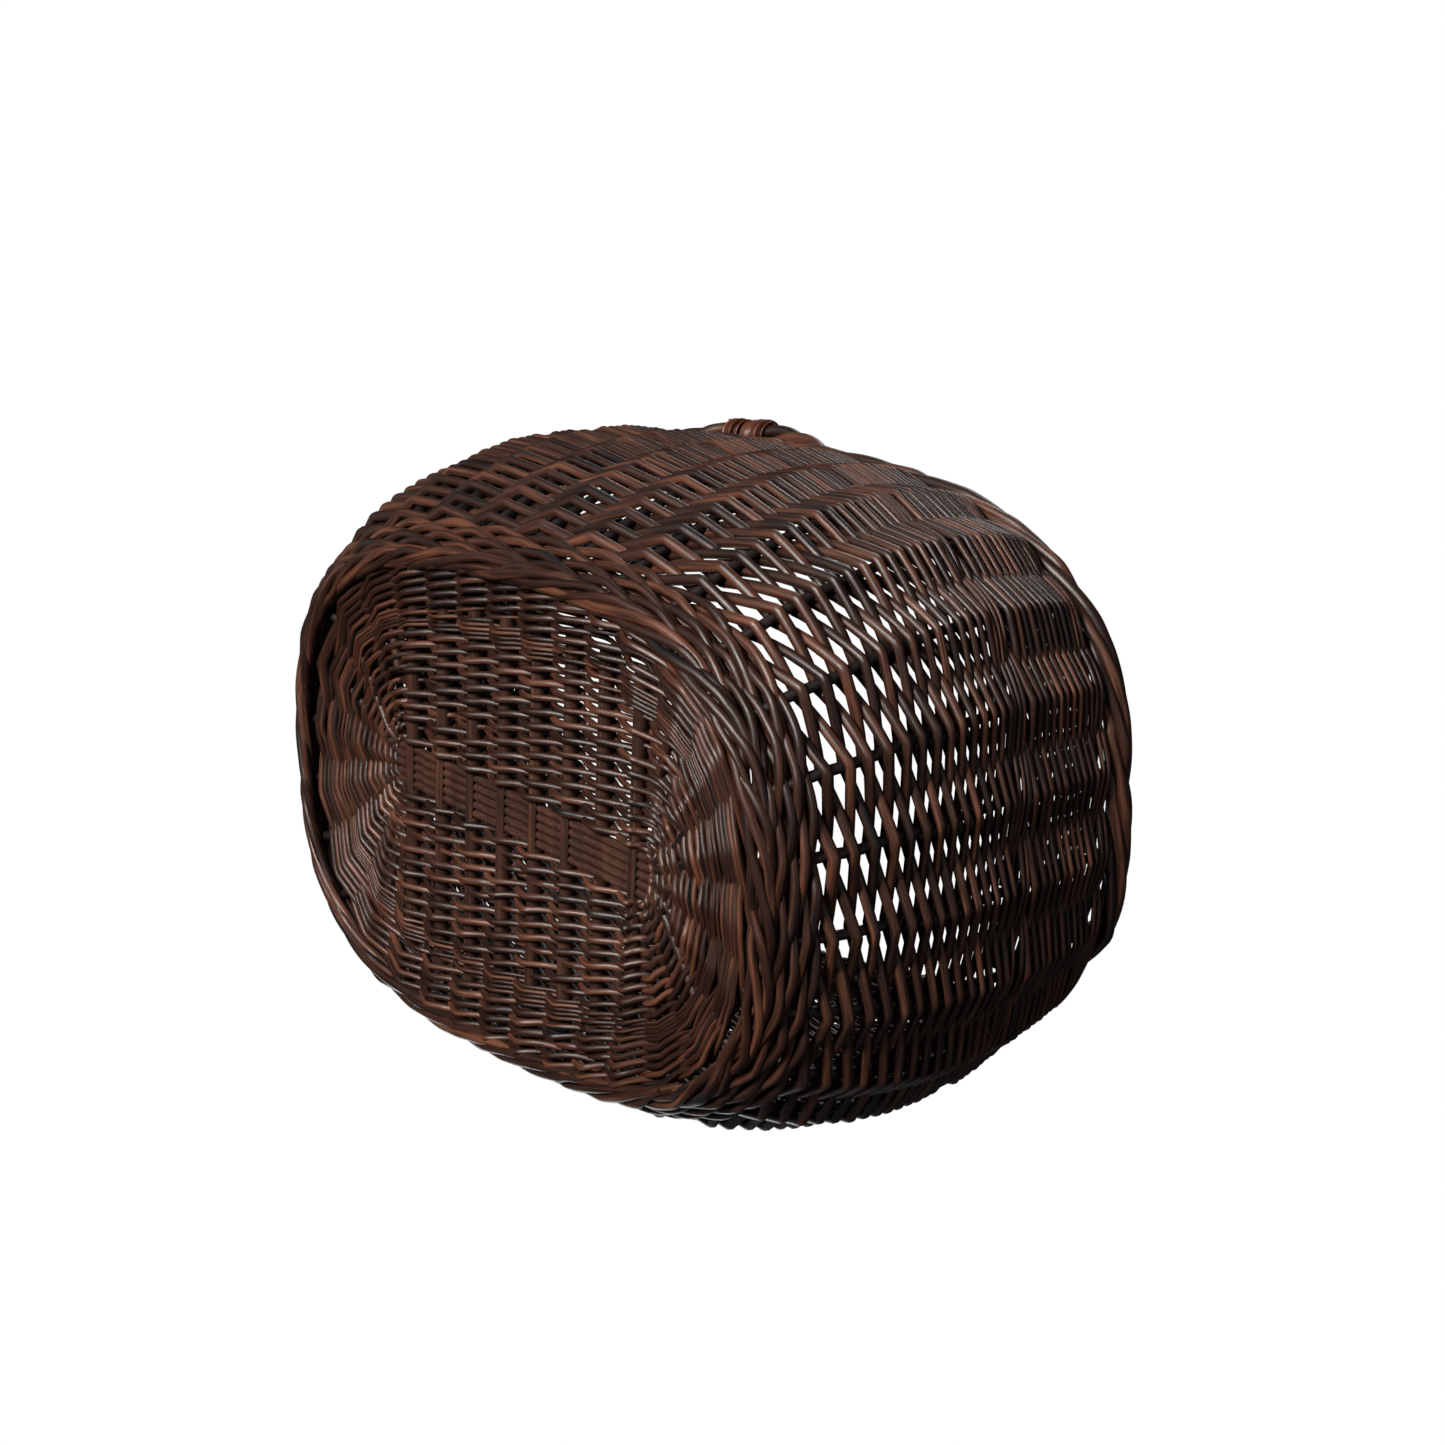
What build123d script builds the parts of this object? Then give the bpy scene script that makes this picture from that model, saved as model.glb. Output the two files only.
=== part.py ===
"""Oval wicker log basket, standing on its foot.

Millimetres. +Z is up and z = 0 is the flat underside of the foot border. X runs along the
oval's long axis, Y along its short axis, and the origin is under the middle of the basket.
The wall leans a little, so the foot stands towards +Y of the origin and the rim towards -Y.

The basket is a base of willow sticks held in a twined weave, a foot border under its edge,
upright stakes bent up out of the base, bands of weave worked round the stakes, a rope border
along the rim, and two rope handles on the long sides, each bound at its middle.

A woven band is a solid for its strokes in front of the stakes and one for its strokes behind
them, and the stakes run between the two. The base weave is the same: strokes under the sticks
and strokes over them. Every ring has a corner at each stake, where the rods bend.
"""

import os
from math import atan2, cos, degrees, pi, radians, sin, sqrt, tan

from build123d import *

# ---- overall sizes -------------------------------------------------------------------------
FOOT_HALF_LENGTH = 208.0  # outer face of the foot border along X, where it meets the ground
FOOT_HALF_WIDTH = 150.7  # the same along Y
RIM_HALF_LENGTH = 272.0  # outer face of the wall at the rim along X
RIM_HALF_WIDTH = 172.0  # the same along Y
HEIGHT = 244.0  # underside of the foot to the top of the rim border
END_FLARE = 112.0  # how quickly the two short ends spread just above the foot
SIDE_BELLY = 123.0  # how far the two long sides swell between the foot and the rim
FOOT_SQUARENESS = 2.78  # exponent of the foot oval: 2 is an ellipse, more is squarer
RIM_SQUARENESS = 2.74  # exponent of the rim oval
MIDDLE_SQUARENESS = 1.88  # how much squarer the oval is between the foot and the rim
RIM_LEAN = -19.0  # the middle of the rim stands this far along Y from the middle of the foot
LEAN_PIVOT = 0.585  # share of the height at which the wall is over the origin

# ---- levels up the wall --------------------------------------------------------------------
FOOT_BORDER_HEIGHT = 9.0
UPSETT_TOP = 28.0  # top of the thick rounds that hold the stakes where they turn up
LOWER_RAND_TOP = 152.0
MIDDLE_WALE_TOP = 162.0
UPPER_RAND_TOP = 214.0
TOP_WALE_TOP = 224.0
LOWER_RAND_STRIPS = 4  # the bands bulge, so each is made of straight strips
UPPER_RAND_STRIPS = 2

# ---- rods ----------------------------------------------------------------------------------
STAKE_COUNT = 30
STAKE_DIAMETER = 6.0
STROKE_THICKNESS = 4.2  # the rods in front of the stakes, or behind them
WEAVE_CLEARANCE = 1.4  # between a stake and the strokes on each side of it
JOINT_CLEARANCE = 0.3  # between neighbouring pieces that only touch
LONG_STICK_COUNT = 5
LONG_STICK_DIAMETER = 5.2
CROSS_STICK_COUNT = 8
CROSS_STICK_DIAMETER = 9.0
CROSS_STICK_SPACING = 30.3
END_STICK_DIAMETER = 6.0
LAPPED_CROSS_STICK = 7  # this cross stick lies over the long sticks and isn't pierced
STICK_TURN = 5.0  # degrees that the sticks lie off the oval's long axis

# ---- base ----------------------------------------------------------------------------------
FOOT_BORDER_WIDTH = 15.0
BASE_RECESS = 3.4  # the underside of the base weave stands this far above the ground
THIN_BAND_INNER = 0.72  # the band of thin rods, as shares of the way out to the base edge
THIN_BAND_OUTER = 0.79
STICK_END_GAP = 4.0  # between the ends of the sticks and the butts of the stakes
LONG_STICK_FAN = 27.0  # degrees between neighbouring long sticks where they fan out
FAN_BEND_RADIUS = 26.0  # of the outermost long sticks; the others bend round the same centre
END_STICK_START = 62.0  # end sticks start this far past the last cross stick
STAKE_LEG_LENGTH = 27.0  # the part of a stake that is pushed into the base
STAKE_ELBOW_RADIUS = 8.0
STAKE_BEND_RUN = 6.0  # how much of each run a gentle bend further up takes
STAKE_TOP_GAP = 2.0  # between the stakes and the underside of the rim border

# ---- rim and handles -----------------------------------------------------------------------
BORDER_WIDTH = 19.0
BORDER_OVERHANG = 2.0  # the border stands proud of the wall by this much, outside
HANDLE_SPAN = 196.0  # between the two places where a handle's rods enter the border
HANDLE_RISE = 20.0  # the middle of the handle rope over the top of the border
HANDLE_SHOULDER_RISE = 9.0
HANDLE_SHIFT = 76.0  # the handles sit this far off the middle of their long sides
HANDLE_ROD_DIAMETER = 7.2
HANDLE_SOCKET_DEPTH = 12.0
HANDLE_SOCKET_GAP = 1.5  # below the rods in their socket
HANDLE_BEND_SHARE = 0.35  # how much of each run a bend takes
BINDING_TURNS = 6
BINDING_SKEIN_WIDTH = 6.0
BINDING_SKEIN_THICKNESS = 1.6
BINDING_GAP = 0.6

# ---- sizes that follow from those ------------------------------------------------------------
STAKE_ROOM = STAKE_DIAMETER + 2 * WEAVE_CLEARANCE
WALL_THICKNESS = 2 * STROKE_THICKNESS + STAKE_ROOM
STAKE_INSET = WALL_THICKNESS / 2
STICK_ROOM = CROSS_STICK_DIAMETER + 2 * JOINT_CLEARANCE
UNDER_TOP = BASE_RECESS + STROKE_THICKNESS
STICK_LEVEL = UNDER_TOP + STICK_ROOM / 2
OVER_BOTTOM = UNDER_TOP + STICK_ROOM
OVER_TOP = OVER_BOTTOM + STROKE_THICKNESS
CROSS_HALF_SPAN = CROSS_STICK_SPACING * (CROSS_STICK_COUNT - 1) / 2
BUNDLE_PITCH = LONG_STICK_DIAMETER + JOINT_CLEARANCE
BUNDLE_WIDTH = BUNDLE_PITCH * LONG_STICK_COUNT + JOINT_CLEARANCE
TURN = radians(STICK_TURN)
ROPE_RADIUS = (HANDLE_ROD_DIAMETER + JOINT_CLEARANCE) / sqrt(3)

# ---- the oval and its profile --------------------------------------------------------------


def half_axes(level):
    """Half length, half width and squareness of the wall's outer face at a height."""
    share = max(level, 0.0) / HEIGHT
    quick = sqrt(share) - share
    swell = share * (1 - share)
    length = FOOT_HALF_LENGTH + (RIM_HALF_LENGTH - FOOT_HALF_LENGTH) * share + END_FLARE * quick
    width = FOOT_HALF_WIDTH + (RIM_HALF_WIDTH - FOOT_HALF_WIDTH) * share + SIDE_BELLY * swell
    squareness = FOOT_SQUARENESS + (RIM_SQUARENESS - FOOT_SQUARENESS) * share
    return length, width, squareness + MIDDLE_SQUARENESS * swell


def lean(level):
    """How far along Y the middle of the oval stands at a height."""
    return RIM_LEAN * (max(level, 0.0) / HEIGHT - LEAN_PIVOT)


def oval_point(level, angle, inset=0.0, scale=1.0):
    """The point of the wall's oval at a height and an angle, moved in by an inset."""
    length, width, power = half_axes(level)
    c, s = cos(angle), sin(angle)
    reach = (abs(c) ** power + abs(s) ** power) ** (-1 / power)
    x = (length - inset) * scale * c * reach
    y = (width - inset) * scale * s * reach
    return Vector(x, y + lean(level), level)


def even_angles(count, level, inset):
    """Angles that divide the oval at a height into equal lengths, from half a step past +X."""
    steps = 1440
    points = [oval_point(level, 2 * pi * i / steps, inset) for i in range(steps + 1)]
    run = [0.0]
    for before, after in zip(points, points[1:]):
        run.append(run[-1] + (after - before).length)
    angles, i = [], 0
    for k in range(count):
        target = run[-1] * (k + 0.5) / count
        while run[i + 1] < target:
            i += 1
        angles.append(2 * pi * (i + (target - run[i]) / (run[i + 1] - run[i])) / steps)
    return angles


STAKE_ANGLES = even_angles(STAKE_COUNT, (UPSETT_TOP + LOWER_RAND_TOP) / 2, STAKE_INSET)


def ring_wire(level, inset, scale=1.0, shape_level=None):
    """A closed ring with a corner at each stake, which may take its shape from another level."""
    at = level if shape_level is None else shape_level
    corners = [oval_point(at, angle, inset, scale) for angle in STAKE_ANGLES]
    return Wire.make_polygon([Vector(p.X, p.Y, level) for p in corners], close=True)


def ring_loft(levels, inset, scale=1.0, shape_level=None):
    """A solid through the ring at each height."""
    wires = [ring_wire(z, inset, scale, shape_level) for z in levels]
    return Solid.make_loft(wires, ruled=True)


def ring_shell(levels, outer_inset, inner_inset):
    """A shell between two insets of the wall's oval."""
    return ring_loft(levels, outer_inset) - ring_loft(levels, inner_inset)


def woven_band(levels, inner_bottom=None):
    """The strokes in front of the stakes and the strokes behind them, as two shells."""
    behind = list(levels)
    if inner_bottom is not None:
        behind[0] = inner_bottom
    front = ring_shell(levels, 0.0, STROKE_THICKNESS)
    return [front, ring_shell(behind, STROKE_THICKNESS + STAKE_ROOM, WALL_THICKNESS)]


def strip_levels(bottom, top, strips):
    """Heights that divide a band into equal strips."""
    return [bottom + (top - bottom) * i / strips for i in range(strips + 1)]


LOWER_RAND_LEVELS = strip_levels(UPSETT_TOP, LOWER_RAND_TOP, LOWER_RAND_STRIPS)
UPPER_RAND_LEVELS = strip_levels(MIDDLE_WALE_TOP, UPPER_RAND_TOP, UPPER_RAND_STRIPS)

# ---- rods ----------------------------------------------------------------------------------


def bend_radius(a, b, c, run):
    """The radius of an arc at b that takes the given length of each of its two runs."""
    return run / tan(radians((b - a).get_angle(c - b)) / 2)


def bent_rod(points, diameter, radii):
    """A round rod along straight runs joined by arcs."""
    path = FilletPolyline(*points, radius=radii)
    start = Plane(origin=points[0], z_dir=points[1] - points[0])
    return sweep(start * Circle(diameter / 2), path=path).solid()


def straight_rod(start, end, diameter):
    """A round rod between two points."""
    plane = Plane(origin=start, z_dir=end - start)
    return Solid.make_cylinder(diameter / 2, (end - start).length, plane)


def stake(angle):
    """One stake, from its butt inside the base, out to the wall and up to the border."""
    elbow = oval_point(STICK_LEVEL, angle, STAKE_INSET)
    inward = Vector(-elbow.X, lean(STICK_LEVEL) - elbow.Y, 0).normalized()
    butt = elbow + inward * STAKE_LEG_LENGTH
    levels = LOWER_RAND_LEVELS + UPPER_RAND_LEVELS + [TOP_WALE_TOP - STAKE_TOP_GAP]
    points = [butt, elbow] + [oval_point(z, angle, STAKE_INSET) for z in levels]
    radii = [STAKE_ELBOW_RADIUS]
    for a, b, c in zip(points[1:], points[2:], points[3:]):
        run = min(STAKE_BEND_RUN, 0.45 * (c - b).length)
        radii.append(bend_radius(a, b, c, run))
    return bent_rod(points, STAKE_DIAMETER, radii)


# ---- base sticks ---------------------------------------------------------------------------


def edge_reach(x, y, direction):
    """How far a stick can run from a point before it meets the butts of the stakes."""
    length, width, power = half_axes(STICK_LEVEL)
    margin = STAKE_INSET + STAKE_LEG_LENGTH + STICK_END_GAP
    low, high = 0.0, 2 * FOOT_HALF_LENGTH
    for _ in range(40):
        middle = (low + high) / 2
        along = abs(x + middle * cos(direction)) / (length - margin)
        across = abs(y - lean(STICK_LEVEL) + middle * sin(direction)) / (width - margin)
        if along**power + across**power < 1:
            low = middle
        else:
            high = middle
    return low


def turned(x, y, level=STICK_LEVEL):
    """A point given along and across the long sticks."""
    across = x * sin(TURN) + y * cos(TURN) + lean(STICK_LEVEL)
    return Vector(x * cos(TURN) - y * sin(TURN), across, level)


def cross_stick(index):
    """One thick stick across the base, slit or lapped where the long sticks pass."""
    x = CROSS_STICK_SPACING * index - CROSS_HALF_SPAN
    middle = turned(x, 0)
    far = edge_reach(middle.X, middle.Y, pi / 2 + TURN)
    near = edge_reach(middle.X, middle.Y, -pi / 2 + TURN)
    rod = straight_rod(turned(x, -near), turned(x, far), CROSS_STICK_DIAMETER)
    top = STICK_LEVEL + LONG_STICK_DIAMETER / 2 + JOINT_CLEARANCE
    bottom = STICK_LEVEL - LONG_STICK_DIAMETER / 2 - JOINT_CLEARANCE
    if index + 1 == LAPPED_CROSS_STICK:
        bottom = STICK_LEVEL - CROSS_STICK_DIAMETER
    slot = Box(2 * CROSS_STICK_DIAMETER, BUNDLE_WIDTH, top - bottom)
    return rod - Location(turned(x, 0, (bottom + top) / 2)) * Rotation(0, 0, STICK_TURN) * slot


def long_stick(index):
    """One long stick: straight through the cross sticks, and fanned out at both ends."""
    off_middle = index - (LONG_STICK_COUNT - 1) / 2
    y = off_middle * BUNDLE_PITCH
    fan = off_middle * radians(LONG_STICK_FAN)
    inside = (LONG_STICK_COUNT - 1) / 2 - abs(off_middle)
    radius = FAN_BEND_RADIUS + inside * BUNDLE_PITCH
    bend = CROSS_HALF_SPAN + CROSS_STICK_DIAMETER + radius * tan(abs(fan) / 2)
    right, left = turned(bend, y), turned(-bend, y)
    out_right, out_left = fan + TURN, pi - fan + TURN
    reach_right = edge_reach(right.X, right.Y, out_right)
    reach_left = edge_reach(left.X, left.Y, out_left)
    end_right = right + Vector(cos(out_right), sin(out_right), 0) * reach_right
    end_left = left + Vector(cos(out_left), sin(out_left), 0) * reach_left
    if off_middle == 0:
        return straight_rod(end_left, end_right, LONG_STICK_DIAMETER)
    points = [end_left, left, right, end_right]
    return bent_rod(points, LONG_STICK_DIAMETER, [radius, radius])


def end_stick(side, upper):
    """A short stick added beyond the outermost long stick, at one corner of the base."""
    fan = radians(LONG_STICK_FAN) * ((LONG_STICK_COUNT - 1) / 2 + 0.75)
    slope = fan if upper else -fan
    direction = (slope if side > 0 else pi - slope) + TURN
    root = turned(side * CROSS_HALF_SPAN, 0)
    heading = Vector(cos(direction), sin(direction), 0)
    reach = edge_reach(root.X, root.Y, direction)
    start = root + heading * END_STICK_START
    return straight_rod(start, root + heading * reach, END_STICK_DIAMETER)


# ---- base weave ----------------------------------------------------------------------------


def base_discs(share):
    """The under strokes and the over strokes of the base, out to a share of its edge."""
    under_inset = FOOT_BORDER_WIDTH + JOINT_CLEARANCE
    over_inset = WALL_THICKNESS + JOINT_CLEARANCE
    under = ring_loft((BASE_RECESS, UNDER_TOP), under_inset, share, shape_level=0.0)
    over = ring_loft((OVER_BOTTOM, OVER_TOP), over_inset, share, shape_level=OVER_BOTTOM)
    return [under, over]


def bundle_window():
    """The opening in the inner weave that leaves the bundle of long sticks bare."""
    length = 2 * CROSS_HALF_SPAN + CROSS_STICK_DIAMETER
    block = Box(length, BUNDLE_WIDTH, 4 * OVER_TOP)
    return Location(turned(0, 0)) * Rotation(0, 0, STICK_TURN) * block


def foot_border():
    """The border under the base's edge, flat below, that follows the wall's flare outside."""
    levels = (0.0, FOOT_BORDER_HEIGHT)
    inner = ring_loft(levels, FOOT_BORDER_WIDTH, shape_level=0.0)
    return ring_loft(levels, 0.0) - inner


# ---- handles -------------------------------------------------------------------------------


def handle_point(side, along, rise):
    """A point over the middle of the border, along one long side; side is -1 for the -Y side."""
    length, width, power = half_axes(HEIGHT + min(rise, 0.0))
    middle = BORDER_WIDTH / 2 - BORDER_OVERHANG
    x = along + side * HANDLE_SHIFT
    y = (width - middle) * (1 - (abs(x) / (length - middle)) ** power) ** (1 / power)
    return Vector(x, side * y + lean(HEIGHT), HEIGHT + rise)


def handle_centre(side):
    """The middle line of a handle's rope, from inside the border up over the arch and back."""
    shares = (-0.5, -0.37, -0.15, 0.15, 0.37, 0.5)
    rises = (-HANDLE_SOCKET_DEPTH, HANDLE_SHOULDER_RISE, HANDLE_RISE)
    rises += rises[::-1]
    return [handle_point(side, share * HANDLE_SPAN, z) for share, z in zip(shares, rises)]


def handle_line(side, rod):
    """The line of one of the three rods of a handle, which lie together all over the arch."""
    turn = 2 * pi * rod / 3 + pi / 2
    outward, lift = ROPE_RADIUS * cos(turn), ROPE_RADIUS * sin(turn)
    line = handle_centre(side)
    slopes = [atan2(b.Z - a.Z, b.X - a.X) for a, b in zip(line, line[1:])]
    points = []
    for point, before, after in zip(line, slopes[:1] + slopes, slopes + slopes[-1:]):
        mean, spread = (before + after) / 2, (after - before) / 2
        reach = lift / cos(spread)
        points.append(point + Vector(-reach * sin(mean), side * outward, reach * cos(mean)))
    return points


def handle_rod(side, rod):
    """One rod of a handle."""
    points = handle_line(side, rod)
    radii = []
    for a, b, c in zip(points, points[1:], points[2:]):
        run = HANDLE_BEND_SHARE * min((b - a).length, (c - b).length)
        radii.append(bend_radius(a, b, c, run))
    return bent_rod(points, HANDLE_ROD_DIAMETER, radii)


def handle_sockets():
    """The four holes in the border, each round the three rods of a handle's end."""
    diameter = 2 * (ROPE_RADIUS + JOINT_CLEARANCE) + HANDLE_ROD_DIAMETER
    holes = []
    for side in (-1, 1):
        line = handle_centre(side)
        for tip, shoulder in (line[:2], line[:-3:-1]):
            start = tip - (shoulder - tip).normalized() * HANDLE_SOCKET_GAP
            holes.append(straight_rod(start, shoulder, diameter))
    return holes


def handle_binding(side):
    """Flat turns of split willow round the middle of a handle, as separate rings."""
    lines = [handle_line(side, rod) for rod in range(3)]
    start = sum((line[2] for line in lines), Vector(0, 0, 0)) / 3
    end = sum((line[3] for line in lines), Vector(0, 0, 0)) / 3
    heading = (end - start).normalized()
    pitch = BINDING_SKEIN_WIDTH + BINDING_GAP
    inner = ROPE_RADIUS + HANDLE_ROD_DIAMETER / 2 + JOINT_CLEARANCE
    turns = []
    for k in range(BINDING_TURNS):
        offset = (k - (BINDING_TURNS - 1) / 2) * pitch - BINDING_SKEIN_WIDTH / 2
        plane = Plane(origin=(start + end) / 2 + heading * offset, z_dir=heading)
        outer = Solid.make_cylinder(inner + BINDING_SKEIN_THICKNESS, BINDING_SKEIN_WIDTH, plane)
        turns.append(outer - Solid.make_cylinder(inner, BINDING_SKEIN_WIDTH, plane))
    return turns


# ---- assembly ------------------------------------------------------------------------------


def solids_of(shape):
    """Every solid in a shape or a list of shapes."""
    shapes = shape if isinstance(shape, (list, tuple)) else [shape]
    return [solid for item in shapes for solid in item.solids()]


def side_stakes():
    """The stakes in four groups, by the side of the basket that they stand in."""
    groups = {"right_end": [], "back_side": [], "left_end": [], "front_side": []}
    for angle in STAKE_ANGLES:
        foot = oval_point(0.0, angle)
        heading = degrees(atan2(foot.Y - lean(0.0), foot.X)) % 360
        groups[list(groups)[int((heading + 45) % 360 // 90)]].append(stake(angle))
    return {f"side_stakes_{name}": stakes for name, stakes in groups.items()}


def base_nodes():
    """The sticks of the base, its weave and the border under its edge."""
    nodes = {}
    for i in range(LONG_STICK_COUNT):
        nodes[f"base_long_stick_{i + 1}"] = long_stick(i)
    for i in range(CROSS_STICK_COUNT):
        nodes[f"base_cross_stick_{i + 1}"] = cross_stick(i)
    corners = [(side, upper) for side in (-1, 1) for upper in (False, True)]
    nodes["base_end_sticks"] = [end_stick(side, upper) for side, upper in corners]
    inner, band, edge = base_discs(THIN_BAND_INNER), base_discs(THIN_BAND_OUTER), base_discs(1.0)
    nodes["base_weave_inner"] = [disc - bundle_window() for disc in inner]
    nodes["base_weave_thin_band"] = [disc - hole for disc, hole in zip(band, inner)]
    nodes["base_weave_outer"] = [disc - hole for disc, hole in zip(edge, band)]
    nodes["foot_border"] = foot_border()
    return nodes


def wall_nodes():
    """The bands of weave up the wall, from the foot to the border."""
    return {
        "upsett_wale": woven_band((FOOT_BORDER_HEIGHT, UPSETT_TOP), inner_bottom=OVER_BOTTOM),
        "lower_rand": woven_band(LOWER_RAND_LEVELS),
        "middle_wale": woven_band((LOWER_RAND_TOP, MIDDLE_WALE_TOP)),
        "upper_rand": woven_band(UPPER_RAND_LEVELS),
        "top_wale": woven_band((UPPER_RAND_TOP, TOP_WALE_TOP)),
    }


def rim_nodes():
    """The rope border along the rim and the two handles that stand in it."""
    inner = BORDER_WIDTH - BORDER_OVERHANG
    border = ring_shell((TOP_WALE_TOP, HEIGHT), -BORDER_OVERHANG, inner)
    for hole in handle_sockets():
        border = border - hole
    nodes = {"rim_border": border}
    for side, label in ((-1, "front"), (1, "back")):
        for rod in range(3):
            nodes[f"{label}_handle_rod_{rod + 1}"] = handle_rod(side, rod)
        nodes[f"{label}_handle_binding"] = handle_binding(side)
    return nodes


os.makedirs("parts", exist_ok=True)
for node_name, shape in {**base_nodes(), **side_stakes(), **wall_nodes(), **rim_nodes()}.items():
    pieces = solids_of(shape)
    whole = pieces[0] if len(pieces) == 1 else Compound(children=pieces)
    export_step(whole, f"parts/{node_name}.step")
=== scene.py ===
"""Looks of the oval wicker log basket: every willow rod of it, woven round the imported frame.

Metres, with the frame's axes: X along the oval, Y across it, Z up from the floor. The oval
and its profile are the frame's own rule, repeated here. Each band of weave is a set of rod
paths, and one Geometry Nodes tree sweeps a rod along each of them.
"""

import logging
import math
import random
from collections.abc import Callable, Iterator
from dataclasses import dataclass, field
from enum import Enum

import bpy
from mathutils import Matrix, Vector

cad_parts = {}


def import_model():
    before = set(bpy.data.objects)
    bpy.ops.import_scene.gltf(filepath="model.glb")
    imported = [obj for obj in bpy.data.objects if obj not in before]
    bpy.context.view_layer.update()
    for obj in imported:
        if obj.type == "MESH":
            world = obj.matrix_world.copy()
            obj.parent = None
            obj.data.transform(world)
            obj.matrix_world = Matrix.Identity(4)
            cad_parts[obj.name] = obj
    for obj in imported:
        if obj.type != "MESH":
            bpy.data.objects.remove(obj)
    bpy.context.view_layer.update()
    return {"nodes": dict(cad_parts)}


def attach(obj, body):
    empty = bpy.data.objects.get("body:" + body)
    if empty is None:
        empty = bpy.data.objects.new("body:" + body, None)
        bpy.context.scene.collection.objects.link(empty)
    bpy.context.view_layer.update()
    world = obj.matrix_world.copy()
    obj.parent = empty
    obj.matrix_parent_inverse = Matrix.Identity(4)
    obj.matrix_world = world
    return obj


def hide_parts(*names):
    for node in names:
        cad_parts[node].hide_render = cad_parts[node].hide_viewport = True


log = logging.getLogger("log_basket")

MM = 0.001
STAKE_COUNT = 30
SAMPLES = 5  # points for each step from stake to stake

PathPoint = tuple[Vector, float]


class Fibre(Enum):
    """Which willow finish a rod gets: the stakes' finish is a darker copy with painted shade, for
    where they sit in the basket.
    """

    FACE = "face"
    PAINTED_SHADE = "painted_shade"
    SKEIN = "skein"


# ---- the oval ----


@dataclass(frozen=True)
class Oval:
    """The wall's outer face, from the foot to the rim, in millimetres."""

    foot_half_length: float = 208.0
    foot_half_width: float = 150.7
    rim_half_length: float = 272.0
    rim_half_width: float = 172.0
    height: float = 244.0
    end_flare: float = 112.0
    side_belly: float = 123.0
    foot_squareness: float = 2.78
    rim_squareness: float = 2.74
    middle_squareness: float = 1.88
    rim_lean: float = -19.0
    lean_pivot: float = 0.585

    def lean(self, level: float) -> float:
        """Gives how far along Y the middle of the oval stands at a height."""
        return self.rim_lean * (max(level, 0.0) / self.height - self.lean_pivot)

    def half_axes(self, level: float) -> tuple[float, float, float]:
        """Gives the half length, half width and squareness at a height.

        Args:
            level: Height over the floor.

        Returns:
            Half length, half width and the exponent of the oval.
        """
        share = min(max(level, 0.0) / self.height, 1.0)
        quick = math.sqrt(share) - share
        swell = share * (1 - share)
        length = self.foot_half_length + (self.rim_half_length - self.foot_half_length) * share
        width = self.foot_half_width + (self.rim_half_width - self.foot_half_width) * share
        squareness = self.foot_squareness + (self.rim_squareness - self.foot_squareness) * share
        squareness += self.middle_squareness * swell
        return length + self.end_flare * quick, width + self.side_belly * swell, squareness

    def point(self, level: float, angle: float, inset: float = 0.0) -> Vector:
        """Gives the point of the oval at a height and an angle.

        Args:
            level: Height over the floor.
            angle: Parameter round the oval, in radians from +X.
            inset: How far inside the outer face.

        Returns:
            The point, in millimetres.
        """
        length, width, power = self.half_axes(level)
        c, s = math.cos(angle), math.sin(angle)
        reach = (abs(c) ** power + abs(s) ** power) ** (-1 / power)
        across = (width - inset) * s * reach + self.lean(level)
        return Vector(((length - inset) * c * reach, across, level))

    def even_angles(self, count: int, level: float, inset: float) -> list[float]:
        """Divides the oval at a height into equal lengths, from half a step past +X.

        Args:
            count: How many points.
            level: Height over the floor.
            inset: How far inside the outer face.

        Returns:
            The angles, in radians.
        """
        steps = 1440
        ring = [self.point(level, 2 * math.pi * i / steps, inset) for i in range(steps + 1)]
        run = [0.0]
        for before, after in zip(ring, ring[1:]):
            run.append(run[-1] + (after - before).length)
        angles, i = [], 0
        for k in range(count):
            target = run[-1] * (k + 0.5) / count
            while run[i + 1] < target:
                i += 1
            share = (target - run[i]) / (run[i + 1] - run[i])
            angles.append(2 * math.pi * (i + share) / steps)
        return angles


OVAL = Oval()
WALL_MIDDLE = 8.4
STAKE_ANGLES = OVAL.even_angles(STAKE_COUNT, 90.0, WALL_MIDDLE)


def stake_angle(step: float) -> float:
    """Gives the angle at a place counted in stakes, which may lie between two of them.

    Args:
        step: Stake number, counted on past the last one.

    Returns:
        The angle, in radians.
    """
    low = math.floor(step)
    turns, index = divmod(low, STAKE_COUNT)
    here, after = STAKE_ANGLES[index], STAKE_ANGLES[(index + 1) % STAKE_COUNT]
    if index + 1 == STAKE_COUNT:
        after += 2 * math.pi
    return here + (after - here) * (step - low) + 2 * math.pi * turns


def wall_point(step: float, level: float, inset: float) -> Vector:
    """Gives a point of the wall at a place counted in stakes, in millimetres."""
    return OVAL.point(level, stake_angle(step), inset)


# ---- finishes ----


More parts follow.
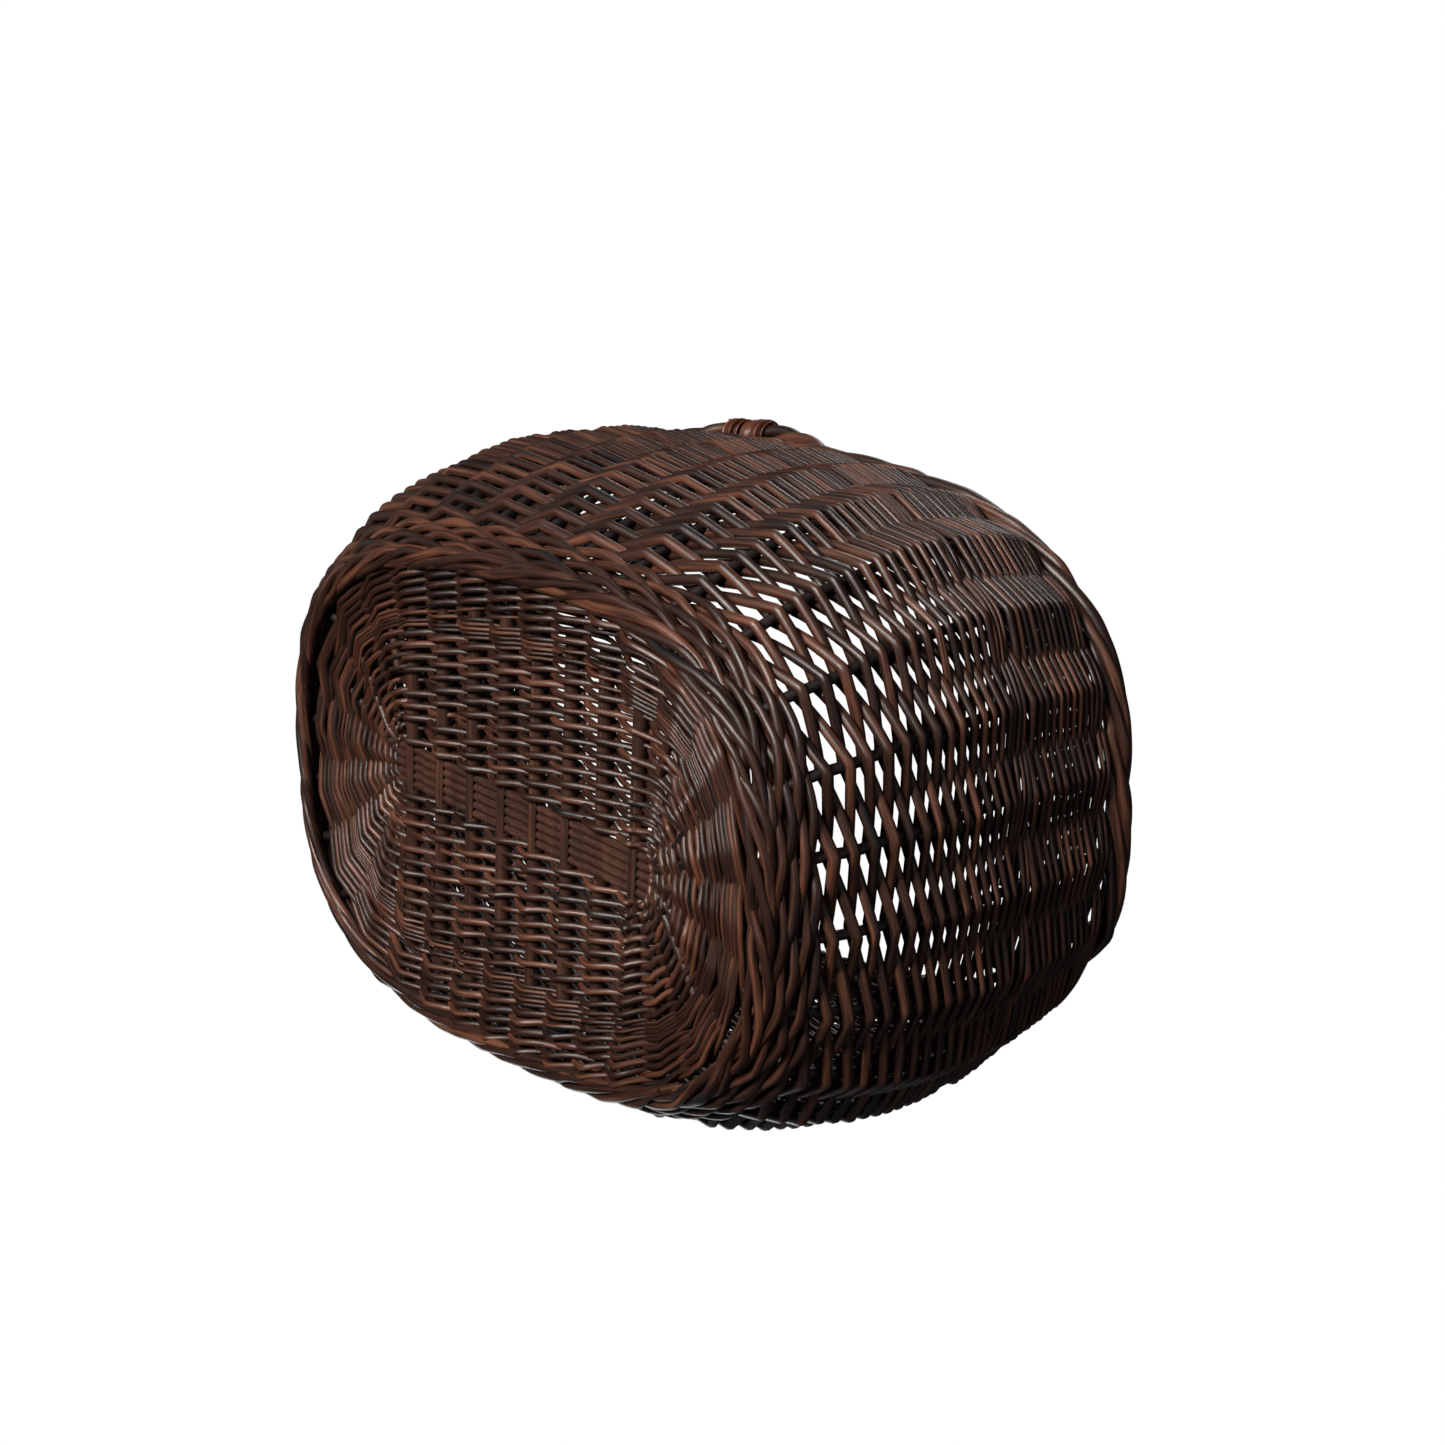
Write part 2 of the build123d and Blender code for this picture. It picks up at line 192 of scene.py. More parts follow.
@dataclass(frozen=True)
class WillowFinish:
    """Stained willow: bark colours that change along and round a rod, with a satin skin.

    The rods carry the attributes "tone" (one value per rod), "run" (metres along the rod)
    and "skin" (the unit circle round it).
    """

    name: str
    deep: tuple[float, float, float]
    middle: tuple[float, float, float]
    bright: tuple[float, float, float]
    blue_black: tuple[float, float, float] = (0.0045, 0.0042, 0.0055)
    roughness: tuple[float, float] = (0.30, 0.46)
    coat: float = 0.06
    stain_from: float = 0.6
    bump: float = 0.35
    swept: bool = True

    def build(self) -> bpy.types.Material:
        """Builds the material.

        Returns:
            The material.
        """
        material = bpy.data.materials.new(self.name)
        material.use_nodes = True
        tree = material.node_tree
        tree.nodes.clear()
        output = tree.nodes.new("ShaderNodeOutputMaterial")
        shader = tree.nodes.new("ShaderNodeBsdfPrincipled")
        shader.inputs["Coat Weight"].default_value = self.coat
        shader.inputs["Coat Roughness"].default_value = 0.32
        shader.inputs["Specular IOR Level"].default_value = 0.36
        tree.links.new(shader.outputs["BSDF"], output.inputs["Surface"])
        grain, tone = self.coordinates(tree)
        streak = self.noise(tree, grain, (1.2, 1.2, 26.0), 4.0)
        patch = self.noise(tree, grain, (0.5, 0.5, 9.0), 2.0)
        fibre = self.noise(tree, grain, (9.0, 9.0, 60.0), 3.0)
        blend = self.mixed_value(tree, [(streak, 0.85), (tone, 0.30), (fibre, 0.25)], -0.20)
        ramp = tree.nodes.new("ShaderNodeValToRGB")
        ramp.color_ramp.elements[0].color = (*self.deep, 1.0)
        ramp.color_ramp.elements[0].position = 0.22
        ramp.color_ramp.elements[1].color = (*self.bright, 1.0)
        ramp.color_ramp.elements[1].position = 0.86
        centre = ramp.color_ramp.elements.new(0.52)
        centre.color = (*self.middle, 1.0)
        tree.links.new(blend, ramp.inputs["Fac"])
        stain = tree.nodes.new("ShaderNodeMapRange")
        stain.inputs["From Min"].default_value = self.stain_from
        stain.inputs["From Max"].default_value = self.stain_from + 0.12
        tree.links.new(patch, stain.inputs["Value"])
        mix = tree.nodes.new("ShaderNodeMix")
        mix.data_type = "RGBA"
        mix.inputs[7].default_value = (*self.blue_black, 1.0)
        tree.links.new(stain.outputs["Result"], mix.inputs[0])
        tree.links.new(ramp.outputs["Color"], mix.inputs[6])
        tree.links.new(mix.outputs[2], shader.inputs["Base Color"])
        rough = tree.nodes.new("ShaderNodeMapRange")
        rough.inputs["To Min"].default_value = self.roughness[0]
        rough.inputs["To Max"].default_value = self.roughness[1]
        tree.links.new(fibre, rough.inputs["Value"])
        tree.links.new(rough.outputs["Result"], shader.inputs["Roughness"])
        bump = tree.nodes.new("ShaderNodeBump")
        bump.inputs["Strength"].default_value = self.bump
        bump.inputs["Distance"].default_value = 0.0004
        tree.links.new(fibre, bump.inputs["Height"])
        tree.links.new(bump.outputs["Normal"], shader.inputs["Normal"])
        tree.links.new(bump.outputs["Normal"], shader.inputs["Coat Normal"])
        return material

    def coordinates(
        self, tree: bpy.types.NodeTree
    ) -> tuple[bpy.types.NodeSocket, bpy.types.NodeSocket]:
        """Adds the nodes that give the place on a rod.

        Args:
            tree: The material's tree.

        Returns:
            The place as a vector, and the tone of the rod.
        """
        if not self.swept:
            place = tree.nodes.new("ShaderNodeTexCoord")
            scale = tree.nodes.new("ShaderNodeMapping")
            scale.inputs["Rotation"].default_value = (0.0, 0.0, math.radians(-5.0))
            scale.inputs["Scale"].default_value = (90.0, 7.0, 90.0)
            tree.links.new(place.outputs["Object"], scale.inputs["Vector"])
            wide = tree.nodes.new("ShaderNodeTexNoise")
            wide.inputs["Scale"].default_value = 38.0
            tree.links.new(place.outputs["Object"], wide.inputs["Vector"])
            return scale.outputs["Vector"], wide.outputs["Fac"]
        skin = tree.nodes.new("ShaderNodeAttribute")
        skin.attribute_name = "skin"
        run = tree.nodes.new("ShaderNodeAttribute")
        run.attribute_name = "run"
        tone = tree.nodes.new("ShaderNodeAttribute")
        tone.attribute_name = "tone"
        apart = tree.nodes.new("ShaderNodeMath")
        apart.operation = "MULTIPLY_ADD"
        apart.inputs[1].default_value = 7.0
        tree.links.new(tone.outputs["Fac"], apart.inputs[0])
        tree.links.new(run.outputs["Fac"], apart.inputs[2])
        along = tree.nodes.new("ShaderNodeCombineXYZ")
        tree.links.new(apart.outputs["Value"], along.inputs["Z"])
        both = tree.nodes.new("ShaderNodeVectorMath")
        both.operation = "ADD"
        tree.links.new(skin.outputs["Vector"], both.inputs[0])
        tree.links.new(along.outputs["Vector"], both.inputs[1])
        return both.outputs["Vector"], tone.outputs["Fac"]

    def noise(
        self,
        tree: bpy.types.NodeTree,
        place: bpy.types.NodeSocket,
        scale: tuple[float, float, float],
        detail: float,
    ) -> bpy.types.NodeSocket:
        """Adds a noise that is stretched along the rod.

        Args:
            tree: The material's tree.
            place: The place on the rod.
            scale: How fine the noise is round the rod and along it.
            detail: Octaves of the noise.

        Returns:
            The noise, from 0 to 1.
        """
        stretch = tree.nodes.new("ShaderNodeMapping")
        stretch.inputs["Scale"].default_value = scale
        tree.links.new(place, stretch.inputs["Vector"])
        noise = tree.nodes.new("ShaderNodeTexNoise")
        noise.inputs["Scale"].default_value = 1.0
        noise.inputs["Detail"].default_value = detail
        tree.links.new(stretch.outputs["Vector"], noise.inputs["Vector"])
        return noise.outputs["Fac"]

    def mixed_value(
        self,
        tree: bpy.types.NodeTree,
        parts: list[tuple[bpy.types.NodeSocket, float]],
        start: float,
    ) -> bpy.types.NodeSocket:
        """Adds up values, each with its own share.

        Args:
            tree: The material's tree.
            parts: Sockets and their shares.
            start: Added to the sum.

        Returns:
            The sum.
        """
        total: bpy.types.NodeSocket | None = None
        for socket, share in parts:
            step = tree.nodes.new("ShaderNodeMath")
            step.operation = "MULTIPLY_ADD"
            step.inputs[1].default_value = share
            tree.links.new(socket, step.inputs[0])
            if total is None:
                step.inputs[2].default_value = start
            else:
                tree.links.new(total, step.inputs[2])
            total = step.outputs["Value"]
        return total


@dataclass(frozen=True)
class FloorFinish:
    """A pale matt floor that is only there from above."""

    name: str = "studio_floor"
    colour: tuple[float, float, float] = (0.86, 0.86, 0.87)

    def build(self) -> bpy.types.Material:
        """Builds the material.

        Returns:
            The material.
        """
        material = bpy.data.materials.new(self.name)
        material.use_nodes = True
        tree = material.node_tree
        shader = tree.nodes["Principled BSDF"]
        shader.inputs["Base Color"].default_value = (*self.colour, 1.0)
        shader.inputs["Roughness"].default_value = 0.9
        side = tree.nodes.new("ShaderNodeNewGeometry")
        clear = tree.nodes.new("ShaderNodeBsdfTransparent")
        mix = tree.nodes.new("ShaderNodeMixShader")
        tree.links.new(side.outputs["Backfacing"], mix.inputs["Fac"])
        tree.links.new(shader.outputs["BSDF"], mix.inputs[1])
        tree.links.new(clear.outputs["BSDF"], mix.inputs[2])
        tree.links.new(mix.outputs["Shader"], tree.nodes["Material Output"].inputs["Surface"])
        return material


FINISHES = {
    Fibre.FACE: WillowFinish(
        name="stained_willow",
        deep=(0.0050, 0.0021, 0.0016),
        middle=(0.027, 0.0102, 0.0062),
        bright=(0.140, 0.052, 0.029),
    ),
    # The stakes' finish: the same willow made far darker, painted shade for where the stakes sit
    # among the weavers.
    Fibre.PAINTED_SHADE: WillowFinish(
        name="dark_stake_willow",
        deep=(0.003, 0.0024, 0.0024),
        middle=(0.007, 0.004, 0.0034),
        bright=(0.020, 0.009, 0.006),
        roughness=(0.42, 0.62),
        coat=0.05,
    ),
    Fibre.SKEIN: WillowFinish(
        name="split_willow_skein",
        deep=(0.035, 0.011, 0.007),
        middle=(0.080, 0.024, 0.013),
        bright=(0.190, 0.066, 0.034),
        stain_from=0.7,
    ),
}
BASE_STICK_FINISH = WillowFinish(
    name="base_stick_willow",
    deep=(0.010, 0.005, 0.004),
    middle=(0.034, 0.015, 0.010),
    bright=(0.110, 0.046, 0.028),
    swept=False,
)


# ---- rods ----


@dataclass
class RodSweeper:
    """Sweeps a round rod along each path with one Geometry Nodes tree.

    The paths are smoothed through their points, and each point has its own rod radius.
    """

    sides: int = 8
    steps: int = 3
    seed: int = 7
    tree: bpy.types.NodeTree = field(init=False)
    sockets: dict[str, str] = field(init=False, default_factory=dict)

    def __post_init__(self) -> None:
        """Builds the tree once, for every piece."""
        self.tree = bpy.data.node_groups.new("rod_sweeper", "GeometryNodeTree")
        self.tree.is_modifier = True
        face = self.tree.interface
        face.new_socket("Geometry", in_out="INPUT", socket_type="NodeSocketGeometry")
        for label, kind in (
            ("Sides", "NodeSocketInt"),
            ("Steps", "NodeSocketInt"),
            ("Seed", "NodeSocketInt"),
            ("Flatness", "NodeSocketFloat"),
            ("Roughness of outline", "NodeSocketFloat"),
            ("Willow", "NodeSocketMaterial"),
        ):
            socket = face.new_socket(label, in_out="INPUT", socket_type=kind)
            self.sockets[label] = socket.identifier
        face.new_socket("Geometry", in_out="OUTPUT", socket_type="NodeSocketGeometry")
        self.add_nodes()

    def add_nodes(self) -> None:
        """Adds the nodes: paths to splines, a rod along each, and its attributes."""
        new, link = self.tree.nodes.new, self.tree.links.new
        source, result = new("NodeGroupInput"), new("NodeGroupOutput")
        curve = new("GeometryNodeMeshToCurve")
        link(source.outputs["Geometry"], curve.inputs["Mesh"])
        kind = new("GeometryNodeCurveSplineType")
        kind.spline_type = "CATMULL_ROM"
        link(curve.outputs["Curve"], kind.inputs["Curve"])
        fine = new("GeometryNodeSetSplineResolution")
        link(kind.outputs["Curve"], fine.inputs["Geometry"])
        link(source.outputs["Steps"], fine.inputs["Resolution"])
        thick = new("GeometryNodeInputNamedAttribute")
        thick.data_type = "FLOAT"
        thick.inputs["Name"].default_value = "thick"
        wobble = new("ShaderNodeTexNoise")
        wobble.noise_dimensions = "4D"
        wobble.inputs["Scale"].default_value = 45.0
        link(source.outputs["Seed"], wobble.inputs["W"])
        centred = new("ShaderNodeMath")
        centred.operation = "SUBTRACT"
        centred.inputs[1].default_value = 0.5
        link(wobble.outputs["Fac"], centred.inputs[0])
        swing = new("ShaderNodeMath")
        swing.operation = "MULTIPLY_ADD"
        swing.inputs[2].default_value = 1.0
        link(centred.outputs["Value"], swing.inputs[0])
        link(source.outputs["Roughness of outline"], swing.inputs[1])
        girth = new("ShaderNodeMath")
        girth.operation = "MULTIPLY"
        link(thick.outputs["Attribute"], girth.inputs[0])
        link(swing.outputs["Value"], girth.inputs[1])
        radius = new("GeometryNodeSetCurveRadius")
        link(fine.outputs["Geometry"], radius.inputs["Curve"])
        link(girth.outputs["Value"], radius.inputs["Radius"])
        circle = new("GeometryNodeCurvePrimitiveCircle")
        circle.inputs["Radius"].default_value = 1.0
        link(source.outputs["Sides"], circle.inputs["Resolution"])
        place = new("GeometryNodeInputPosition")
        skin = new("GeometryNodeStoreNamedAttribute")
        skin.data_type = "FLOAT_VECTOR"
        skin.inputs["Name"].default_value = "skin"
        link(circle.outputs["Curve"], skin.inputs["Geometry"])
        link(place.outputs["Position"], skin.inputs["Value"])
        squeeze = new("GeometryNodeTransform")
        flat = new("ShaderNodeCombineXYZ")
        flat.inputs["Y"].default_value = 1.0
        flat.inputs["Z"].default_value = 1.0
        link(source.outputs["Flatness"], flat.inputs["X"])
        link(skin.outputs["Geometry"], squeeze.inputs["Geometry"])
        link(flat.outputs["Vector"], squeeze.inputs["Scale"])
        sweep = new("GeometryNodeCurveToMesh")
        sweep.inputs["Fill Caps"].default_value = True
        link(radius.outputs["Curve"], sweep.inputs["Curve"])
        link(squeeze.outputs["Geometry"], sweep.inputs["Profile Curve"])
        if "Scale" in sweep.inputs:
            own = new("GeometryNodeInputRadius")
            link(own.outputs["Radius"], sweep.inputs["Scale"])
        smooth = new("GeometryNodeSetShadeSmooth")
        link(sweep.outputs["Mesh"], smooth.inputs["Geometry"])
        real = new("GeometryNodeRealizeInstances")
        link(smooth.outputs["Geometry"], real.inputs["Geometry"])
        dress = new("GeometryNodeSetMaterial")
        link(real.outputs["Geometry"], dress.inputs["Geometry"])
        link(source.outputs["Willow"], dress.inputs["Material"])
        link(dress.outputs["Geometry"], result.inputs["Geometry"])

    def sweep(
        self,
        name: str,
        paths: list[list[PathPoint]],
        material: bpy.types.Material,
        flatness: float = 1.0,
        sides: int | None = None,
        steps: int | None = None,
        outline: float = 0.16,
    ) -> bpy.types.Object:
        """Makes one piece of rods.

        Args:
            name: The piece's name.
            paths: For each rod its points and radii, in millimetres.
            material: The rods' finish.
            flatness: How wide the rods are across, as a share of round.
            sides: Faces round a rod.
            steps: Rings between two points.
            outline: How much the rods swell and thin along their length.

        Returns:
            The finished mesh object.
        """
        lottery = random.Random(name)
        places, edges, thick, tone, run = [], [], [], [], []
        for path in paths:
            shade, distance = lottery.random(), 0.0
            for i, (point, radius) in enumerate(path):
                if i:
                    distance += (point - path[i - 1][0]).length * MM
                    edges.append((len(places) - 1, len(places)))
                places.append(point * MM)
                thick.append(radius * MM)
                tone.append(shade)
                run.append(distance)
        mesh = bpy.data.meshes.new(name)
        mesh.from_pydata(places, edges, [])
        for label, values in (("thick", thick), ("tone", tone), ("run", run)):
            mesh.attributes.new(label, "FLOAT", "POINT").data.foreach_set("value", values)
        guide = bpy.data.objects.new(name + "_paths", mesh)
        bpy.context.scene.collection.objects.link(guide)
        modifier = guide.modifiers.new("sweep", "NODES")
        modifier.node_group = self.tree
        for label, value in (
            ("Sides", sides or self.sides),
            ("Steps", steps or self.steps),
            ("Seed", self.seed),
            ("Flatness", flatness),
            ("Roughness of outline", outline),
            ("Willow", material),
        ):
            modifier[self.sockets[label]] = value
        bpy.context.view_layer.update()
        graph = bpy.context.evaluated_depsgraph_get()
        made = bpy.data.meshes.new_from_object(guide.evaluated_get(graph), depsgraph=graph)
        guide.modifiers.remove(modifier)
        bpy.data.objects.remove(guide)
        made.name = name
        if not made.materials:
            made.materials.append(material)
        piece = bpy.data.objects.new(name, made)
        bpy.context.scene.collection.objects.link(piece)
        return piece


@dataclass
class Workshop:
    """What every part of the basket shares: the sweeper, the finishes and the frame."""

    nodes: dict[str, bpy.types.Object]
    sweeper: RodSweeper = field(default_factory=RodSweeper)
    finishes: dict[Fibre, bpy.types.Material] = field(init=False)

    def __post_init__(self) -> None:
        """Builds the finishes."""
        self.finishes = {fibre: finish.build() for fibre, finish in FINISHES.items()}

    def fit(self, piece: bpy.types.Object, slot: str, *nodes: str) -> None:
        """Puts a finished piece in the place of frame nodes.

        Args:
            piece: The piece.
            slot: Name of its material slot; not used.
            nodes: The nodes that it stands for.
        """
        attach(piece, "root")
        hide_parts(*nodes)
        log.info("%s: %d faces for %s", piece.name, len(piece.data.polygons), ", ".join(nodes))


def kinked(wave: float) -> float:
    """Sharpens the tops of a wave, as a stiff rod does where it passes a stake."""
    return 0.5 * wave + math.asin(max(-1.0, min(1.0, wave))) / math.pi


def twisted_strand(
    line: Callable[[float, float, float], Vector],
    start: float,
    end: float,
    phase: float,
    turns: float,
    depth: float,
    lift: float,
    radius: Callable[[float], float],
    jitter: random.Random,
) -> list[PathPoint]:
    """Makes one strand that winds round a line with its neighbours.

    Args:
        line: Point at a place along it, a depth towards the outside and a lift.
        start: First place.
        end: Last place.
        phase: Where in its turn the strand starts, in turns.
        turns: Turns for each unit of place.
        depth: How far the strand swings in and out.
        lift: How far it swings up and down.
        radius: The strand's radius at a share of its length.
        jitter: Source of the small irregularities.

    Returns:
        The strand's points and radii.
    """
    path = []
    first, last = math.ceil(start * SAMPLES), math.floor(end * SAMPLES)
    for i in range(first, last + 1):
        share = (i - first) / (last - first)
        tuck = max(0.0, 1.0 - min(i - first, last - i) / 4)
        turn = 2 * math.pi * (phase + turns * i / SAMPLES)
        out = depth * (kinked(math.cos(turn)) * (1 - tuck) - 0.5 * tuck)
        out += depth * jitter.uniform(-0.03, 0.03)
        up = lift * kinked(math.sin(turn)) + jitter.uniform(-0.2, 0.2)
        path.append((line(i / SAMPLES, out, up), radius(share) * (1 - 0.35 * tuck)))
    return path


def spliced(count: int, span: float, first: float, overlap: float) -> Iterator[tuple[float, float]]:
    """Divides a closed round into lengths of rod that overlap a little.

    Args:
        count: How many rods make the round.
        span: Length of the round.
        first: Where the first rod starts.
        overlap: How far each rod runs on past the start of the next.

    Yields:
        Start and end of each rod.
    """
    for i in range(count):
        start = first + span * i / count
        yield start, start + span / count + overlap


# ---- base ----


@dataclass
class Base:
    """The bundle of long sticks, the cross sticks, and the twined weave round them."""

    cross_count: int = 8
    cross_spacing: float = 30.3
    bundle_half_width: float = 14.5
    turn: float = math.radians(5.0)
    fan: float = math.radians(27.0)
    rod_radius: float = 2.15
    thin_radius: float = 1.25
    inner_rows: int = 10
    thin_rows: int = 5
    outer_rows: int = 5
    band_inner: float = 0.66
    band_outer: float = 0.77
    widest_lift: float = 2.5
    middle_level: float = 12.4
    fan_depth: float = 3.0
    cross_depth: float = 6.3
    fans: int = 7
    full_span: float = 44.0
    edge_inset: float = 6.8
    edge_drop: float = 3.6

    def stick_lines(self) -> list[tuple[Vector, Vector]]:
        """Gives each stick's line, from the bundle to the edge, all the way round.

        Returns:
            Pairs of a root on the bundle and a tip at the edge of the base.
        """
        half = self.cross_spacing * (self.cross_count - 1) / 2
        lines = []
        for side in (1, -1):
            xs = [side * (half - self.cross_spacing * i) for i in range(self.cross_count)]
            heading = 0.0 if side > 0 else math.pi
            for number in (-2.75, -2.0, -1.0, 0.0, 1.0, 2.0, 2.75):
                angle = heading + self.fan * number
                root = Vector((side * (half + 6), 0, 0))
                spread = self.bundle_half_width * math.sin(angle)
                start = Vector((side * (half + 7 + 7 * abs(math.cos(angle))), spread, 0))
                lines.append(self.reach(start, angle, root))
            for x in xs:
                angle = side * math.pi / 2
                start = Vector((x, side * self.bundle_half_width, 0))
                lines.append(self.reach(start, angle, start))
        return lines

    def reach(self, start: Vector, angle: float, root: Vector) -> tuple[Vector, Vector]:
        """Runs a stick out to the edge of the base.

        Args:
            start: Where the weave starts on it.
            angle: Its direction along the bundle's own axes.
            root: The point that it points away from.

        Returns:
            Its start and its tip, in the frame.
        """
        swing = Matrix.Rotation(self.turn, 3, "Z")
        heading = swing @ Vector((math.cos(angle), math.sin(angle), 0))
        origin = swing @ root
        length, width, power = OVAL.half_axes(0.0)
        low, high = 0.0, 500.0
        for _ in range(40):
            middle = (low + high) / 2
            at = origin + heading * middle
            along = abs(at.x) / (length - self.edge_inset)
            across = abs(at.y) / (width - self.edge_inset)
            if along**power + across**power < 1:
                low = middle
            else:
                high = middle
        return swing @ start, origin + heading * low

    def ring(self, share: float) -> list[Vector]:
        """Gives the places where a round of weave crosses the sticks."""
        return [start.lerp(tip, share) for start, tip in self.stick_lines()]

    def rounds(self, shares: list[float], radius: float, label: str) -> list[list[PathPoint]]:
        """Weaves pairs of rods round the sticks.

        Args:
            shares: How far out each round lies.
            radius: Radius of the rods.
            label: Seeds the irregularities.

        Returns:
            The paths of all the rods.
        """
        jitter = random.Random(label)
        count = len(self.stick_lines())
        quarter = [self.fan_depth] * self.fans + [self.cross_depth] * self.cross_count
        depths = quarter * 2
        paths = []
        for number, share in enumerate(shares):
            ring = self.ring(share)
            swing = 0.93 if radius < self.rod_radius else 1.0
            spans = [(ring[(k + 1) % count] - ring[k - 1]).length for k in range(count)]
            reach = [
                depth * min(1.0, max(0.5, span / self.full_span))
                for depth, span in zip(depths, spans)
            ]
            plane = self.middle_level - self.edge_drop * share**4

            def line(
                place: float,
                out: float,
                up: float,
                ring: list[Vector] = ring,
                reach: list[float] = reach,
                plane: float = plane,
            ) -> Vector:
                """Gives a point of the round between two sticks.

                Args:
                    place: Place round the base, counted in sticks.
                    out: Swing across the base's plane, as a share of its depth.
                    up: Offset away from the middle of the base.
                    ring: Where this round crosses the sticks.
                    reach: Depth of the swing at each stick.
                    plane: Height of the round's middle.

                Returns:
                    The point, in millimetres.
                """
                index = math.floor(place)
                here, after = ring[index % count], ring[(index + 1) % count]
                share = place - index
                at = here.lerp(after, share)
                at += at.normalized() * up
                out *= reach[index % count] * (1 - share) + reach[(index + 1) % count] * share
                return Vector((at.x, at.y + OVAL.lean(self.middle_level), plane + out))

            first = jitter.uniform(0, count)
            for strand in (0, 1):
                for start, end in spliced(3, count, math.floor(first) + strand, 0.45):
                    size = radius * jitter.uniform(0.9, 1.12)
                    paths.append(
                        twisted_strand(
                            line,
                            start + 0.02,
                            end,
                            strand / 2 + number / 2,
                            0.5,
                            -swing,
                            min(radius, self.widest_lift) * 0.85,
                            lambda share, size=size: size * (1.06 - 0.16 * share),
                            jitter,
                        )
                    )
        return paths

    def build(self, shop: Workshop) -> None:
        """Weaves the base and dresses its sticks.

        Args:
            shop: The shared workshop.
        """
        willow = shop.finishes[Fibre.FACE]
        inner = [self.band_inner * (i + 0.4) / self.inner_rows for i in range(self.inner_rows)]
        band = self.band_outer - self.band_inner
        thin = [self.band_inner + band * (i + 0.3) / self.thin_rows for i in range(self.thin_rows)]
        rest = 1.0 - self.band_outer
        outer = [self.band_outer + rest * (i + 0.6) / 4.8 for i in range(self.outer_rows)]
        for name, shares, radius in (
            ("base_weave_inner", inner, self.rod_radius),
            ("base_weave_thin_band", thin, self.thin_radius),
            ("base_weave_outer", outer, self.rod_radius),
        ):
            rods = self.rounds(shares, radius, name)
            piece = shop.sweeper.sweep("woven_" + name, rods, willow, sides=7)
            shop.fit(piece, "base_weavers", name)
        sticks = BASE_STICK_FINISH.build()
        for name, node in shop.nodes.items():
            if name.startswith("base_") and "stick" in name:
                node.data.materials.clear()
                node.data.materials.append(sticks)
                log.info("%s: new finish on the frame's mesh", name)


# ---- wall ----


@dataclass
class RandBand:
    """French rand: a rod for each stake, in front of one and behind the next, always rising."""

    name: str
    bottom: float
    top: float
    rows: int
    bottom_pitch: float
    butt_radius: float
    tip_radius: float
    stake_radius: float = 3.0
    bends: tuple[tuple[float, float], ...] = ((-0.1, 0.8), (0.0, 1.0), (0.1, 0.8), (0.5, 0.0))

    def level(self, row: float) -> float:
        """Gives the height of a row, with rows that close up towards the top.

        Args:
            row: The row, counted from the bottom of the band.

        Returns:
            The height, in millimetres.
        """
        mean = (self.top - self.bottom) / self.rows
        slack = self.bottom_pitch - mean
        share = row / self.rows
        eased = self.rows * (share - share**2) * slack
        return self.bottom + mean * row + eased

    def paths(self) -> list[list[PathPoint]]:
        """Weaves the band's rods.

        Returns:
            The path of each rod.
        """
        jitter = random.Random(self.name)
        paths = []
        for first in range(STAKE_COUNT):
            path = []
            girth = jitter.uniform(0.9, 1.1)
            crossings = 2 * self.rows
            for crossing in range(crossings + 1):
                share = crossing / crossings
                radius = (self.butt_radius + (self.tip_radius - self.butt_radius) * share) * girth
                reach = (self.stake_radius + radius + 0.9) * (1 if crossing % 2 else -1)
                sway = jitter.uniform(-0.6, 0.6) * (1.5 - share)
                for part, depth in self.bends:
                    step = crossing + part
                    if not 0 <= step <= crossings:
                        continue
                    level = self.level(step / 2) + sway * depth
                    level = min(max(level, self.bottom + radius * 0.4), self.top - radius * 0.4)
                    inset = WALL_MIDDLE - depth * reach
                    path.append((wall_point(first + step, level, inset), radius))
            paths.append(path)
        return paths

    def build(self, shop: Workshop) -> None:
        """Weaves the band and puts it in place of its node.

        Args:
            shop: The shared workshop.
        """
        willow = shop.finishes[Fibre.FACE]
        piece = shop.sweeper.sweep("woven_" + self.name, self.paths(), willow, steps=2)
        shop.fit(piece, "wall_weavers", self.name)


@dataclass
class WaleBand:
    """Rounds of waling: several rods that take turns in front of the stakes."""

    name: str
    levels: tuple[float, ...]
    strands: int
    radius: float
    depth: float
    lift: float
    middle: float = WALL_MIDDLE
    rods_in_round: int = 3

    def paths(self) -> list[list[PathPoint]]:
        """Weaves the band's rods.

        Returns:
            The path of each rod.
        """
        jitter = random.Random(self.name)
        paths = []
        for number, level in enumerate(self.levels):

            def line(place: float, out: float, up: float, level: float = level) -> Vector:
                """Gives a point round the wall."""
                return wall_point(place, level + up, self.middle - out)

            for strand in range(self.strands):
                first = jitter.randrange(STAKE_COUNT) + 0.5
                for start, end in spliced(self.rods_in_round, STAKE_COUNT, first, 0.6):
                    size = self.radius * jitter.uniform(0.9, 1.1)
                    paths.append(
                        twisted_strand(
                            line,
                            start,
                            end,
                            strand / self.strands + number / 2,
                            -1 / self.strands,
                            self.depth,
                            self.lift,
                            lambda share, size=size: size * (1.08 - 0.2 * share),
                            jitter,
                        )
                    )
        return paths

    def build(self, shop: Workshop) -> None:
        """Weaves the band and puts it in place of its node.

        Args:
            shop: The shared workshop.
        """
        piece = shop.sweeper.sweep("woven_" + self.name, self.paths(), shop.finishes[Fibre.FACE])
        shop.fit(piece, "wall_weavers", self.name)


